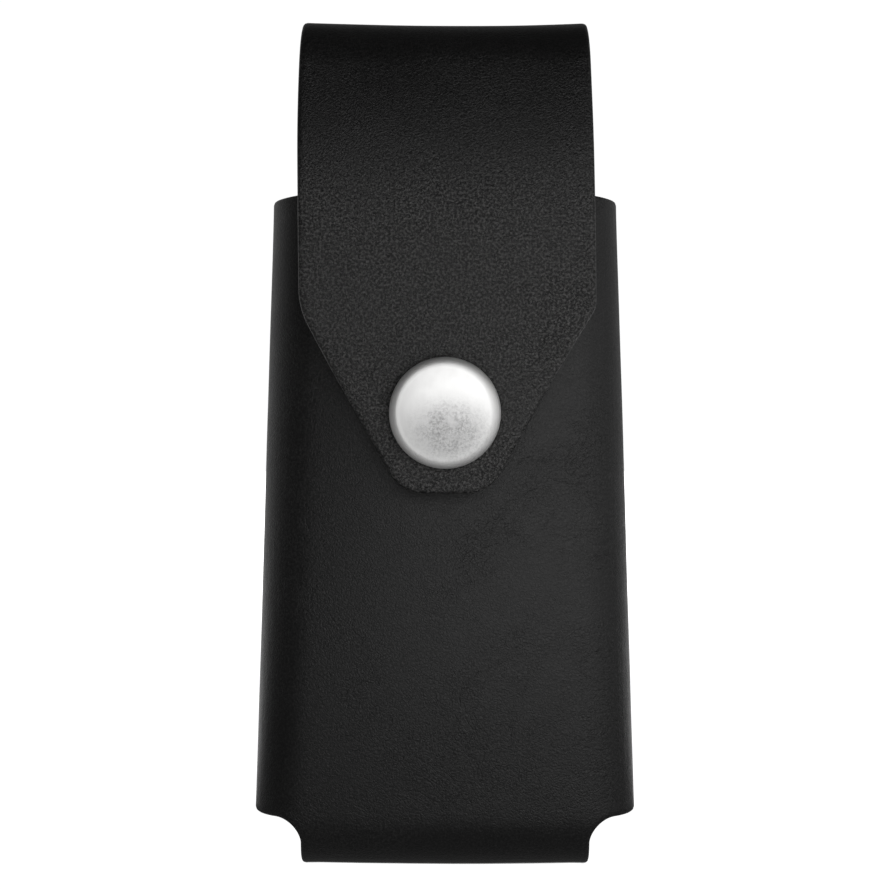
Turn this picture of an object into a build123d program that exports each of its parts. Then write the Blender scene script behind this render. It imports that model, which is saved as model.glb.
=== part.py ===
"""Leather belt sheath for a folding multi tool.

One strip of hide makes the flap, the crown over the tool's end, the back, the bottom fold and the front.
The front carries a wing on each side. The wings fold round the sides and are riveted over the back,
and so is a belt loop. A ring-spring snap closes the flap on the front.

Frame, in millimetres: +Z up, the front faces -Y, the origin is under the middle of the whole sheath.
"""

import os
from math import acos, cos, degrees, radians, sin, sqrt

from build123d import *

# Hide
hide_t = 2.6
strip_w = 40.2

# Body: a wrap that is wider at the foot than at the mouth
total_h = 118.0
crown_over_mouth = 24.0
body_depth = 27.0
wing_low_z = 7.4
mouth_w = 48.9
foot_w = 54.1
mouth_bow_r = 70.0
foot_bow_r = 250.0
mouth_corner_r = 9.5
foot_corner_r = 8.0
back_corner_r = 6.0
wing_gap = 10.0
wing_end_r = 4.0
notch_r = 4.0

# Bottom fold, by its outer radii
fold_front_r = 7.5
fold_back_r = 6.0

# Flap and crown, by their outer radii
crown_front_r = 10.0
crown_back_r = 9.0
lean_angle = 12.5
lean_r = 90.0
lean_straight = 7.0
hinge_gap = 0.2
tip_under_snap = 10.8
tip_half_w = 5.9
tip_r = 5.0
chamfer_over_snap = 14.2
shoulder_r = 6.0

# Snap: cap, socket, ring spring, stud and eyelet on one axis
snap_under_mouth = 30.7
snap_gap = 3.2
cap_r = 7.5
cap_h = 2.4
cap_edge_h = 1.7
cap_edge_in = 0.9
cap_foot_in = 0.5
cap_post_r = 1.7
cap_flare = 1.1
flare_t = 0.35
socket_wall = 1.6
socket_plate_t = 0.5
socket_mouth_clear = 0.7
socket_lip_t = 0.2
socket_face_gap = 0.3
groove_depth = 1.1
groove_h = 0.65
spring_wire_r = 0.28
spring_grip_clear = 0.05
spring_corner_clear = 0.26
spring_split = 0.8
stud_flange_r = 6.0
stud_flange_t = 0.5
stud_neck_r = 2.5
stud_wall = 0.4
stud_head_over = 0.4
stud_rim_over = 0.1
stud_top_clear = 0.15
eyelet_r = 1.5
eyelet_wall = 0.4
eyelet_flange_r = 5.0
eyelet_flange_t = 0.7
eyelet_flare_clear = 0.1

# Belt loop and rivets
loop_w = 35.0
loop_gap = 6.0
loop_bend_r = 4.5
loop_tab = 11.0
loop_low_z = 17.0
loop_top_margin = 0.5
loop_corner_r = 5.0
loop_rivet_margin = 5.5
wing_rivet_rise = 4.3
rivet_in_wing = 6.5
rivet_cap_r = 4.0
rivet_cap_h = 1.6
rivet_cap_edge_h = 0.8
rivet_post_r = 1.4
rivet_post_in_cap = 0.9
rivet_base_h = 1.1

# The layers from front to back set every depth; the middle of the whole sheath is at Y = 0
total_depth = cap_h + hide_t + snap_gap + body_depth + hide_t + loop_gap + hide_t
flap_face_y = -total_depth / 2 + cap_h
flap_back_y = flap_face_y + hide_t
front_face_y = flap_back_y + snap_gap
back_face_y = front_face_y + body_depth
wing_face_y = back_face_y + hide_t
back_inner_y = back_face_y - hide_t
half_t = hide_t / 2

# Heights that line up with each other
mouth_z = total_h - crown_over_mouth
snap_z = mouth_z - snap_under_mouth
tip_z = snap_z - tip_under_snap
chamfer_z = snap_z + chamfer_over_snap
loop_top_z = mouth_z - loop_top_margin
rivet_rows = {
    "wing": (wing_low_z + wing_rivet_rise, wing_face_y),
    "loop_lower": (loop_low_z + loop_rivet_margin, wing_face_y + hide_t),
    "loop_upper": (loop_top_z - loop_rivet_margin, wing_face_y + hide_t),
}
rivet_x = wing_gap / 2 + rivet_in_wing
rivet_sides = {"left": -rivet_x, "right": rivet_x}
outwards_back, outwards_front = 1, -1

# Fits along and around the snap's axis; heights are above the face that the piece stands on
socket_h = snap_gap - stud_flange_t - socket_face_gap
groove_top = socket_h - socket_lip_t
stud_neck_h = snap_gap - groove_top + groove_h / 2 + spring_wire_r
stud_h = snap_gap - socket_plate_t - flare_t - stud_top_clear
stud_head_r = stud_neck_r + stud_head_over
stud_cup_r = stud_neck_r - stud_wall
socket_mouth_r = stud_head_r + socket_mouth_clear
groove_r = socket_mouth_r + groove_depth
socket_r = groove_r + socket_wall
cap_flare_r = cap_post_r + cap_flare


def save(part, name):
    """Label a finished piece and write it as its own STEP file."""
    part.label = name
    export_step(part, f"parts/{name}.step")


def outline(width, bow_r, corner_r, inset):
    """Draw the body's outline at one height: bowed front, round corners, flat back of two layers."""
    half = width / 2 - inset
    bow_r = bow_r - inset
    corner_r = corner_r - inset
    back_r = back_corner_r - inset
    front_y = front_face_y + inset
    back_y = wing_face_y - 2 * inset
    corner_x = half - corner_r
    bow_to_corner = sqrt((bow_r - corner_r) ** 2 - corner_x**2)
    reach = bow_r / (bow_r - corner_r)
    join_x = corner_x * reach
    join_y = front_y + bow_r - bow_to_corner * reach
    corner_y = front_y + bow_r - bow_to_corner
    bow = ThreePointArc((-join_x, join_y), (0, front_y), (join_x, join_y))
    corner = TangentArc(bow @ 1, (half, corner_y), tangent=bow % 1)
    side = Line(corner @ 1, (half, back_y - back_r))
    back_corner = TangentArc(side @ 1, (half - back_r, back_y), tangent=side % 1)
    mirror([corner, side, back_corner], about=Plane.YZ)
    Line(back_corner @ 1, (back_r - half, back_y))


def body_form(inset):
    """The body as a filled form, or its hollow when the inset is the hide's thickness."""
    heights = (
        (0, foot_w, foot_bow_r, foot_corner_r),
        (mouth_z, mouth_w, mouth_bow_r, mouth_corner_r),
    )
    with BuildPart() as form:
        for z, width, bow_r, corner_r in heights:
            with BuildSketch(Plane.XY.offset(z)):
                with BuildLine():
                    outline(width, bow_r, corner_r, inset)
                make_face()
        loft(ruled=True)
        front, back = front_face_y + inset, back_face_y - inset
        with BuildSketch(Plane.YZ):
            with BuildLine():
                FilletPolyline(
                    (front, mouth_z), (front, inset), (back, inset), (back, mouth_z),
                    radius=(fold_front_r - inset, fold_back_r - inset),
                )
                Line((back, mouth_z), (front, mouth_z))
            make_face()
            with Locations((front, wing_low_z)):
                Rectangle(wing_face_y - 2 * inset - front, mouth_z - wing_low_z, align=(Align.MIN, Align.MIN))
        extrude(amount=foot_w, both=True, mode=Mode.INTERSECT)
    return form.part


def strip_line(start, heading, steps):
    """Middle line of a bent strip in side view. A step is a length, or a radius and its turn in degrees."""
    at, along = Vector(*start), Vector(*heading)
    run = []
    for step in steps:
        if isinstance(step, tuple):
            edge = JernArc(at, along, *step)
        else:
            edge = Line(at, at + along.normalized() * step)
        at, along = edge @ 1, edge % 1
        run.append(edge)
    return run


def strip_section(run):
    """Side view of a strip: its middle line given the hide's thickness."""
    with BuildSketch(Plane.YZ) as side_view:
        for edge in run:
            trace(edge, line_width=hide_t)
    return side_view.sketch


def outer_point(edge):
    """Y and Z of the point on the hide's outer surface, halfway along an edge of its middle line."""
    outwards = (edge % 0.5).rotate(Axis.Z, -90)
    point = edge @ 0.5 + outwards.normalized() * half_t
    return round(point.X, 3), round(point.Y, 3)


def disc(x, y, z, radius):
    """Round sketch that faces the back."""
    with BuildSketch(Plane(origin=(x, y, z), x_dir=(1, 0, 0), z_dir=(0, 1, 0))) as face:
        Circle(radius)
    return face.sketch


def radius_plane(x, y, z, outwards):
    """Plane for a turned profile: radius along X, height along Y, to the back (1) or the front (-1)."""
    return Plane(origin=(x, y, z), x_dir=(1, 0, 0), z_dir=(0, 0, outwards))


def turning_axis(x, z):
    return Axis((x, 0, z), (0, 1, 0))


os.makedirs("parts", exist_ok=True)

# The strip's middle line over the top: up the back, over the crown and down the front.
# It is parted in the middle of both bends, where the flap hinges on its outer surface.
crown_back_mid_r = crown_back_r - half_t
crown_front_mid_r = crown_front_r - half_t
lean_mid_r = lean_r - half_t
strip_start_z = mouth_z - hide_t
back_gap_turn = degrees(hinge_gap / crown_back_r)
front_gap_turn = degrees(hinge_gap / crown_front_r)
half_back_bend = (crown_back_mid_r, (90 - back_gap_turn) / 2)
half_front_bend = (crown_front_mid_r, (90 - lean_angle - front_gap_turn) / 2)
front_setback = (
    crown_front_mid_r * cos(radians(lean_angle))
    + lean_straight * sin(radians(lean_angle))
    + lean_mid_r * (1 - cos(radians(lean_angle)))
)
front_drop = (
    crown_front_mid_r * (1 - sin(radians(lean_angle)))
    + lean_straight * cos(radians(lean_angle))
    + lean_mid_r * sin(radians(lean_angle))
)
back_rise = [total_h - crown_back_r - strip_start_z, half_back_bend]
crown_run = [
    half_back_bend,
    (back_face_y - half_t - crown_back_mid_r) - (flap_face_y + half_t + front_setback),
    half_front_bend,
]
front_run = [half_front_bend, lean_straight, (lean_mid_r, lean_angle), total_h - half_t - front_drop - tip_z]
over_the_top = strip_line(
    (back_face_y - half_t, strip_start_z),
    (0, 1),
    [
        *back_rise, (crown_back_mid_r, back_gap_turn),
        *crown_run, (crown_front_mid_r, front_gap_turn),
        *front_run,
    ],
)
crown_hinge = len(back_rise)
front_hinge = crown_hinge + 1 + len(crown_run)
print("crown_bend on the outer surface at y, z", outer_point(over_the_top[crown_hinge]))
print("flap_bend on the outer surface at y, z", outer_point(over_the_top[front_hinge]))

# Body hide: front, wings, bottom and back in one piece, up to the middle of the bend at the back of the crown
hollow = body_form(hide_t)
with BuildPart() as body_hide:
    add(body_form(0))
    with BuildSketch(Plane.XZ.offset(-back_face_y)):
        with Locations((0, (wing_low_z + mouth_z) / 2)):
            Rectangle(wing_gap, mouth_z - wing_low_z)
    extrude(amount=-hide_t, mode=Mode.SUBTRACT)
    wing_corners = body_hide.edges().filter_by(Axis.Y).filter_by(
        lambda e: e.center().Y > back_face_y and abs(e.center().X) < wing_gap
    )
    fillet(wing_corners, wing_end_r)
    with BuildSketch(Plane.XZ) as notch:
        with Locations((strip_w / 2 + foot_w / 2, 0)):
            Rectangle(foot_w, 2 * wing_low_z)
        fillet(notch.vertices().filter_by(lambda v: v.Y > 0).sort_by(Axis.X)[0], notch_r)
        mirror(about=Plane.YZ)
    extrude(amount=total_depth, both=True, mode=Mode.SUBTRACT)
    add(hollow, mode=Mode.SUBTRACT)
    extrude(strip_section(over_the_top[:crown_hinge]), amount=strip_w / 2, both=True)
    for z, _ in rivet_rows.values():
        for x in rivet_sides.values():
            extrude(disc(x, back_inner_y, z, rivet_post_r), amount=2 * hide_t, mode=Mode.SUBTRACT)
    extrude(disc(0, front_face_y - half_t, snap_z, eyelet_r), amount=2 * hide_t, mode=Mode.SUBTRACT)
    eyelet_seat = disc(0, front_face_y + hide_t, snap_z, eyelet_flange_r)
    extrude(eyelet_seat, amount=eyelet_flange_t, mode=Mode.SUBTRACT)
save(body_hide.part, "body_hide")

# Crown: from the middle of one bend to the middle of the other
with BuildPart() as flap_crown:
    extrude(strip_section(over_the_top[crown_hinge + 1 : front_hinge]), amount=strip_w / 2, both=True)
save(flap_crown.part, "flap_crown")

# Front of the flap, down to its blunt point
with BuildPart() as flap_front:
    extrude(strip_section(over_the_top[front_hinge + 1 :]), amount=strip_w / 2, both=True)
    with BuildSketch(Plane.XZ) as flap_face:
        with BuildLine():
            Polyline(
                (strip_w / 2, total_h), (strip_w / 2, chamfer_z), (tip_half_w, tip_z), (-tip_half_w, tip_z),
                (-strip_w / 2, chamfer_z), (-strip_w / 2, total_h), close=True,
            )
        make_face()
        fillet(flap_face.vertices().group_by(Axis.Y)[0], tip_r)
        fillet(flap_face.vertices().filter_by(lambda v: abs(v.Y - chamfer_z) < half_t), shoulder_r)
    extrude(amount=total_depth, both=True, mode=Mode.INTERSECT)
    extrude(disc(0, flap_face_y - half_t, snap_z, cap_post_r), amount=2 * hide_t, mode=Mode.SUBTRACT)
save(flap_front.part, "flap_front")

# Belt loop: a strap that stands off the back between two riveted tabs
bend_turn = degrees(acos(1 - loop_gap / (2 * loop_bend_r)))
bend_rise = 2 * loop_bend_r * sin(radians(bend_turn))
loop_run = loop_top_z - loop_low_z - 2 * (loop_tab + bend_rise)
bend_out = [(loop_bend_r, -bend_turn), (loop_bend_r, bend_turn)]
bend_in = [(loop_bend_r, bend_turn), (loop_bend_r, -bend_turn)]
loop_line = strip_line(
    (wing_face_y + half_t, loop_low_z), (0, 1), [loop_tab, *bend_out, loop_run, *bend_in, loop_tab]
)
with BuildPart() as belt_loop:
    extrude(strip_section(loop_line), amount=loop_w / 2, both=True)
    fillet(belt_loop.edges().filter_by(Axis.Y), loop_corner_r)
    for row in ("loop_lower", "loop_upper"):
        for x in rivet_sides.values():
            extrude(disc(x, wing_face_y, rivet_rows[row][0], rivet_post_r), amount=hide_t, mode=Mode.SUBTRACT)
save(belt_loop.part, "belt_loop")

# Double-cap rivets: a post with its own base inside the pocket, and a domed cap pressed on from the back
for row, (z, cap_seat_y) in rivet_rows.items():
    for side, x in rivet_sides.items():
        post_end = cap_seat_y + rivet_post_in_cap - back_inner_y
        with BuildPart() as rivet_post:
            with BuildSketch(radius_plane(x, back_inner_y, z, outwards_back)):
                with BuildLine():
                    Polyline(
                        (0, -rivet_base_h), (rivet_cap_r - rivet_base_h / 2, -rivet_base_h),
                        (rivet_cap_r, 0), (rivet_post_r, 0), (rivet_post_r, post_end), (0, post_end),
                        close=True,
                    )
                make_face()
            revolve(axis=turning_axis(x, z))
        save(rivet_post.part, f"rivet_post_{side}_{row}")

        with BuildPart() as rivet_cap:
            with BuildSketch(radius_plane(x, cap_seat_y, z, outwards_back)):
                with BuildLine():
                    dome = TangentArc((0, rivet_cap_h), (rivet_cap_r, rivet_cap_edge_h), tangent=(1, 0))
                    Polyline(
                        dome @ 1, (rivet_cap_r, 0), (rivet_post_r, 0), (rivet_post_r, rivet_post_in_cap),
                        (0, rivet_post_in_cap), dome @ 0,
                    )
                make_face()
            revolve(axis=turning_axis(x, z))
        save(rivet_cap.part, f"rivet_cap_{side}_{row}")

# Snap cap: domed disc whose post goes through the flap and is flared over inside the socket
post_reach = hide_t + socket_plate_t
with BuildPart() as snap_cap:
    with BuildSketch(radius_plane(0, flap_face_y, snap_z, outwards_front)):
        with BuildLine():
            dome = TangentArc((0, cap_h), (cap_r - cap_edge_in, cap_edge_h), tangent=(1, 0))
            rim = ThreePointArc(dome @ 1, (cap_r, cap_edge_h / 2), (cap_r - cap_foot_in, 0))
            Polyline(
                rim @ 1, (cap_post_r, 0), (cap_post_r, -post_reach), (cap_flare_r, -post_reach),
                (cap_flare_r, -post_reach - flare_t), (0, -post_reach - flare_t), dome @ 0,
            )
        make_face()
    revolve(axis=turning_axis(0, snap_z))
save(snap_cap.part, "snap_cap")

# Snap socket: a ring on the flap's back whose groove holds the ring spring
with BuildPart() as snap_socket:
    with BuildSketch(radius_plane(0, flap_back_y, snap_z, outwards_back)):
        with BuildLine():
            Polyline(
                (cap_post_r, 0), (socket_r, 0), (socket_r, socket_h), (socket_mouth_r, socket_h),
                (socket_mouth_r, groove_top), (groove_r, groove_top), (groove_r, groove_top - groove_h),
                (socket_mouth_r, groove_top - groove_h), (socket_mouth_r, socket_plate_t),
                (cap_post_r, socket_plate_t), close=True,
            )
        make_face()
    revolve(axis=turning_axis(0, snap_z))
save(snap_socket.part, "snap_socket")

# Ring spring: a split wire triangle whose sides grip the stud's neck and whose corners lie in the groove
spring_y = flap_back_y + groove_top - groove_h / 2
side_reach = stud_neck_r + spring_wire_r + spring_grip_clear
sharp_corner_reach = side_reach / cos(radians(60))
spring_corner_r = sharp_corner_reach - (groove_r - spring_wire_r - spring_corner_clear)
spring_plane = Plane(origin=(0, spring_y, snap_z), x_dir=(1, 0, 0), z_dir=(0, -1, 0))
with BuildPart() as snap_ring_spring:
    with BuildLine(spring_plane) as wire:
        corners = [
            (sharp_corner_reach * cos(radians(angle)), sharp_corner_reach * sin(radians(angle)))
            for angle in (90, 210, 330)
        ]
        FilletPolyline(*corners, radius=spring_corner_r, close=True)
    with BuildSketch(Plane(origin=wire.line @ 0, z_dir=wire.line % 0)):
        Circle(spring_wire_r)
    sweep()
    with BuildSketch(spring_plane):
        Rectangle(spring_split, sharp_corner_reach, align=(Align.CENTER, Align.MIN))
    extrude(amount=groove_h, both=True, mode=Mode.SUBTRACT)
save(snap_ring_spring.part, "snap_ring_spring")

# Snap stud: a flanged cup on the front, clenched by the eyelet that comes through from the pocket
with BuildPart() as snap_stud:
    with BuildSketch(radius_plane(0, front_face_y, snap_z, outwards_front)):
        with BuildLine():
            Polyline(
                (eyelet_r, 0), (stud_flange_r, 0), (stud_flange_r, stud_flange_t),
                (stud_neck_r, stud_flange_t), (stud_neck_r, stud_neck_h),
                (stud_head_r, (stud_neck_h + stud_h) / 2), (stud_neck_r + stud_rim_over, stud_h),
                (stud_cup_r, stud_h), (stud_cup_r, stud_flange_t), (eyelet_r, stud_flange_t), close=True,
            )
        make_face()
    revolve(axis=turning_axis(0, snap_z))
save(snap_stud.part, "snap_stud")

eyelet_bore_r = eyelet_r - eyelet_wall
eyelet_flare_r = stud_cup_r - eyelet_flare_clear
eyelet_back = -hide_t - eyelet_flange_t
eyelet_end = stud_flange_t + flare_t
with BuildPart() as snap_eyelet:
    with BuildSketch(radius_plane(0, front_face_y, snap_z, outwards_front)):
        with BuildLine():
            Polyline(
                (eyelet_bore_r, eyelet_back), (eyelet_flange_r, eyelet_back), (eyelet_flange_r, -hide_t),
                (eyelet_r, -hide_t), (eyelet_r, stud_flange_t), (eyelet_flare_r, stud_flange_t),
                (eyelet_flare_r, eyelet_end), (eyelet_bore_r, eyelet_end), close=True,
            )
        make_face()
    revolve(axis=turning_axis(0, snap_z))
save(snap_eyelet.part, "snap_eyelet")
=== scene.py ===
# %% [markdown]
# # A leather belt sheath, cut flat and folded
# The sheath is one strip of black hide. Its front carries two wings that fold round to the back, its other
# end comes up the back and over the top as a flap, and a snap holds the flap's point to the front.
# This lesson makes it the way a leather worker does: draw the flat pattern, cut it, round its edges, fold it.
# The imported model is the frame. It gives every place and size here, and its bodies carry the pieces.

# %% The frame
import math

import bmesh
import bpy
import numpy as np
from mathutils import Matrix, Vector
from mathutils.geometry import delaunay_2d_cdt


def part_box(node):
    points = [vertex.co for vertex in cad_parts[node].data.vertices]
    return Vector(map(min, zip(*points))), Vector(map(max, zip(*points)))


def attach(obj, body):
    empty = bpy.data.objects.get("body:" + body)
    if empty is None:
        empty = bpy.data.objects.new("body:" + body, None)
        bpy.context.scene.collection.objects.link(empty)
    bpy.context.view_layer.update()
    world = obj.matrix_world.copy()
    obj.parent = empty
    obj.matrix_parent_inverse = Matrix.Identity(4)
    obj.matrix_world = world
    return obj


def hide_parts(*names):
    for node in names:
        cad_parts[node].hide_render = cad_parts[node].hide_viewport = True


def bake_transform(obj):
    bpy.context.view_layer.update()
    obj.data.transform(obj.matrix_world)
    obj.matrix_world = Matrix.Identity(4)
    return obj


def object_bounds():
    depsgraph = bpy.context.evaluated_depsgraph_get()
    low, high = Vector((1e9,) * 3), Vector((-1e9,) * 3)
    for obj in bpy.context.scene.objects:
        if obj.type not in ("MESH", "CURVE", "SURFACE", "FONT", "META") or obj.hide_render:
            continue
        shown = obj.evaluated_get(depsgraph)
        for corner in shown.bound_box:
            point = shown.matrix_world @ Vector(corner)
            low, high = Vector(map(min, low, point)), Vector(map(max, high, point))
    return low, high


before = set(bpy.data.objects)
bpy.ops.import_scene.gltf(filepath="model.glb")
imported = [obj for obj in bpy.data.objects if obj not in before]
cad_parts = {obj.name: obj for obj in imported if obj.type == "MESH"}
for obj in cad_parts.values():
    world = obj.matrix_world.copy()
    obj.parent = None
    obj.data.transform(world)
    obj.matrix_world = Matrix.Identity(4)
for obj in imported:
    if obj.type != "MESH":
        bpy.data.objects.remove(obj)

MM = 0.001
cad_low, cad_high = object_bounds()
hide_low, hide_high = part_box("body_hide")
flap_low, flap_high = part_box("flap_front")
cap_low, cap_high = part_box("snap_cap")
loop_low, loop_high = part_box("belt_loop")
print("CAD box in mm:", [round(v / MM, 1) for v in (*cad_low, *cad_high)])

# %% [markdown]
# ## The sizes of the hide
# The frame gives the outer places: where the front, the back and the crown are. What it can't give is how
# the hide bends, so the bend radii are named here, each for the hide's outer (grain) surface.

# %% Sizes of the hide
hide_t = 2.6 * MM
strip_half = flap_high.x
front_y = hide_low.y
wing_y = hide_high.y
back_y = wing_y - hide_t
flap_y = flap_low.y
top_z = cad_high.z
mouth_z = 94.0 * MM
wing_z = 7.4 * MM
foot_half, mouth_half = 27.05 * MM, 24.45 * MM
foot_bow, mouth_bow = 250 * MM, 70 * MM
foot_corner, mouth_corner = 8.0 * MM, 9.5 * MM
back_corner = 6.0 * MM
wing_edge_x = 5.0 * MM
wing_corner_r = 4.0 * MM
notch_r = 4.0 * MM
fold_front_r, fold_back_r = 7.5 * MM, 6.0 * MM
crown_back_r, crown_front_r = 9.0 * MM, 10.0 * MM
steep, lean = math.radians(17.0), math.radians(8.0)
steep_r, lean_r = 84.1 * MM, 101.9 * MM
edge_r = 0.55 * MM
snap_z = (cap_low.z + cap_high.z) / 2
cap_r = (cap_high.x - cap_low.x) / 2
print("The snap's axis is", round(snap_z / MM, 1), "mm up, and its cap is", round(2 * cap_r / MM, 1), "mm wide")


# %% [markdown]
# ## A path in side view
# Seen from the side, the strip is a line that runs down the front, under the bottom, up the back and over
# the top. Straight runs and arcs are enough to say it. A turn to the left keeps the outer surface outside.

# %% Path
class SidePath:
    """Straight runs and arcs in the YZ plane. A step is (length, None) or (radius, signed turn)."""

    def __init__(self, start, heading, steps):
        self.pieces = []
        at, angle, gone = np.array(start, float), heading, 0.0
        for size, turn in steps:
            length = size if turn is None else size * abs(turn)
            self.pieces.append((gone, length, at.copy(), angle, size, turn))
            at, angle = self._walk(at, angle, size, turn, length)
            gone += length
        self.length, self.end = gone, at

    @staticmethod
    def _walk(at, angle, size, turn, along):
        ahead = np.array([np.cos(angle), np.sin(angle)])
        if turn is None:
            return at + ahead * along, angle
        side = 1 if turn > 0 else -1
        left = np.array([-ahead[1], ahead[0]]) * side
        swept = along / size
        return at + ahead * size * np.sin(swept) + left * size * (1 - np.cos(swept)), angle + side * swept

    def start_of(self, index):
        """Distance along the path at which a step begins."""
        return self.pieces[index][0]

    def at(self, distance):
        """Y, Z and heading at each distance; before the start and past the end it runs on straight."""
        y, z = np.empty_like(distance), np.empty_like(distance)
        turned = np.empty_like(distance)
        for number, (gone, length, at, angle, size, turn) in enumerate(self.pieces):
            first, last = number == 0, number == len(self.pieces) - 1
            here = (distance >= gone - 1e-9) | first
            if not last:
                here &= distance < gone + length
            for i in np.flatnonzero(here):
                straight = turn is None
                along = distance[i] - gone
                if not straight:
                    along = min(max(along, 0.0), length)
                point, heading = self._walk(at, angle, size, turn, along)
                y[i], z[i], turned[i] = point[0], point[1], heading
        return y, z, turned


# %% [markdown]
# The flap's side doesn't hang straight: after a tight bend, two long arcs lead to the flat where the snap is.

# %% The strip's path
down, up = -math.pi / 2, math.pi / 2
front_setback = (
    crown_front_r * math.cos(steep) + steep_r * (math.cos(lean) - math.cos(steep)) + lean_r * (1 - math.cos(lean))
)
front_drop = (
    crown_front_r * (1 - math.sin(steep)) + steep_r * (math.sin(steep) - math.sin(lean)) + lean_r * math.sin(lean)
)
hide_path = SidePath(
    (front_y, fold_front_r + 1 * MM),
    down,
    [
        (1 * MM, None),
        (fold_front_r, math.pi / 2),
        (back_y - front_y - fold_front_r - fold_back_r, None),
        (fold_back_r, math.pi / 2),
        (top_z - crown_back_r - fold_back_r, None),
        (crown_back_r, math.pi / 2),
        (back_y - crown_back_r - flap_y - front_setback, None),
        (crown_front_r, math.pi / 2 - steep),
        (steep_r, steep - lean),
        (lean_r, lean),
        (top_z - front_drop - flap_low.z, None),
    ],
)
snap_along = hide_path.length - (snap_z - flap_low.z)
FOLD, BOTTOM, BACK_FOLD, BACK, CROWN_BACK, CROWN, CROWN_FRONT, STEEP, LEAN, DROP = range(1, 11)
print("The strip from the front's fold to the flap's point is", round(hide_path.length / MM, 1), "mm long")


# %% [markdown]
# ## The wrap in plan
# Seen from above, the front and its wings are a rounded box: a slightly bowed front, round corners, flat
# sides, and two flat wings on the back. A place on the hide is given by its girth, the distance walked
# along this outline from the middle of the front.

# %% Outline in plan
def wrap_shape(z):
    """Half width, bow radius and corner radius of the outline at each height."""
    share = z / mouth_z
    half = foot_half + (mouth_half - foot_half) * share
    bow = 1 / (1 / foot_bow + (1 / mouth_bow - 1 / foot_bow) * np.clip(share, 0, 1))
    corner = foot_corner + (mouth_corner - foot_corner) * share
    return half, bow, corner


def wrap_runs(z):
    """Lengths of bow, corner, side, back corner and wing from the middle of the front, and the bow's angle."""
    half, bow, corner = wrap_shape(z)
    bow_angle = np.arcsin((half - corner) / (bow - corner))
    corner_y = front_y + bow - (bow - corner) * np.cos(bow_angle)
    side = wing_y - back_corner - corner_y
    runs = [
        bow * bow_angle, corner * (math.pi / 2 - bow_angle), side,
        back_corner * math.pi / 2 + 0 * z, half - back_corner - wing_edge_x,
    ]
    return runs, bow_angle, corner_y


def wrap_point(girth, z):
    """X and Y on the outline, for arrays of girth and height."""
    half, bow, corner = wrap_shape(z)
    (bow_run, corner_run, side_run, back_run, _), bow_angle, corner_y = wrap_runs(z)
    far = np.abs(girth)
    past_bow = far - bow_run
    past_corner = past_bow - corner_run
    past_side = past_corner - side_run
    past_back = past_side - back_run
    turn = np.clip(far / bow, 0, bow_angle)
    corner_turn = np.clip(past_bow / corner, 0, math.pi / 2 - bow_angle) + bow_angle
    back_turn = np.clip(past_side / back_corner, 0, math.pi / 2)
    zones = [past_bow < 0, past_corner < 0, past_side < 0, past_back < 0]
    x = np.select(
        zones,
        [
            bow * np.sin(turn),
            half - corner + corner * np.sin(corner_turn),
            half,
            half - back_corner + back_corner * np.cos(back_turn),
        ],
        half - back_corner - past_back,
    )
    y = np.select(
        zones,
        [
            front_y + bow * (1 - np.cos(turn)),
            corner_y - corner * np.cos(corner_turn),
            corner_y + past_corner,
            wing_y - back_corner + back_corner * np.sin(back_turn),
        ],
        wing_y + 0 * far,
    )
    return np.sign(girth) * x, y


def half_girth(z):
    """Girth from the middle of the front to a wing's free edge, at one height."""
    return float(sum(wrap_runs(np.array([z]))[0])[0])


print("Half girth at the foot and at the mouth in mm:", [round(half_girth(z) / MM, 1) for z in (wing_z, mouth_z)])

# %% [markdown]
# ## Folding the pattern
# The pattern is flat: one axis is the girth, the other is the distance along the strip. Folding is a
# function from a place on the pattern to a place in space. The wings use the plan outline, the strip uses
# the side path, and near the bottom fold the two run into each other.

# %% Places and slack of the fold
wing_along = hide_path.start_of(FOLD) + fold_front_r * math.asin(1 - wing_z / fold_front_r)
mouth_along = hide_path.start_of(FOLD) - (mouth_z - fold_front_r)
mouth_dip = 0.3 * MM
layer_gap = 0.08 * MM
crown_curl = 0.4 * MM
flap_bow = 0.35 * MM
flap_shift = 0.33 * MM
crown_waist = 0.3 * MM
print("On the pattern the wings run from", round(wing_along / MM, 1), "to", round(mouth_along / MM, 1), "mm")


# %% [markdown]
# A hide never folds quite true: the mouth dips, the crown curls and narrows, the flap hangs a shade aside.

# %% Fold
def soft_step(value, start, end):
    """0 before start, 1 after end, smooth between them."""
    t = np.clip((value - start) / (end - start), 0, 1)
    return t * t * (3 - 2 * t)


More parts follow.
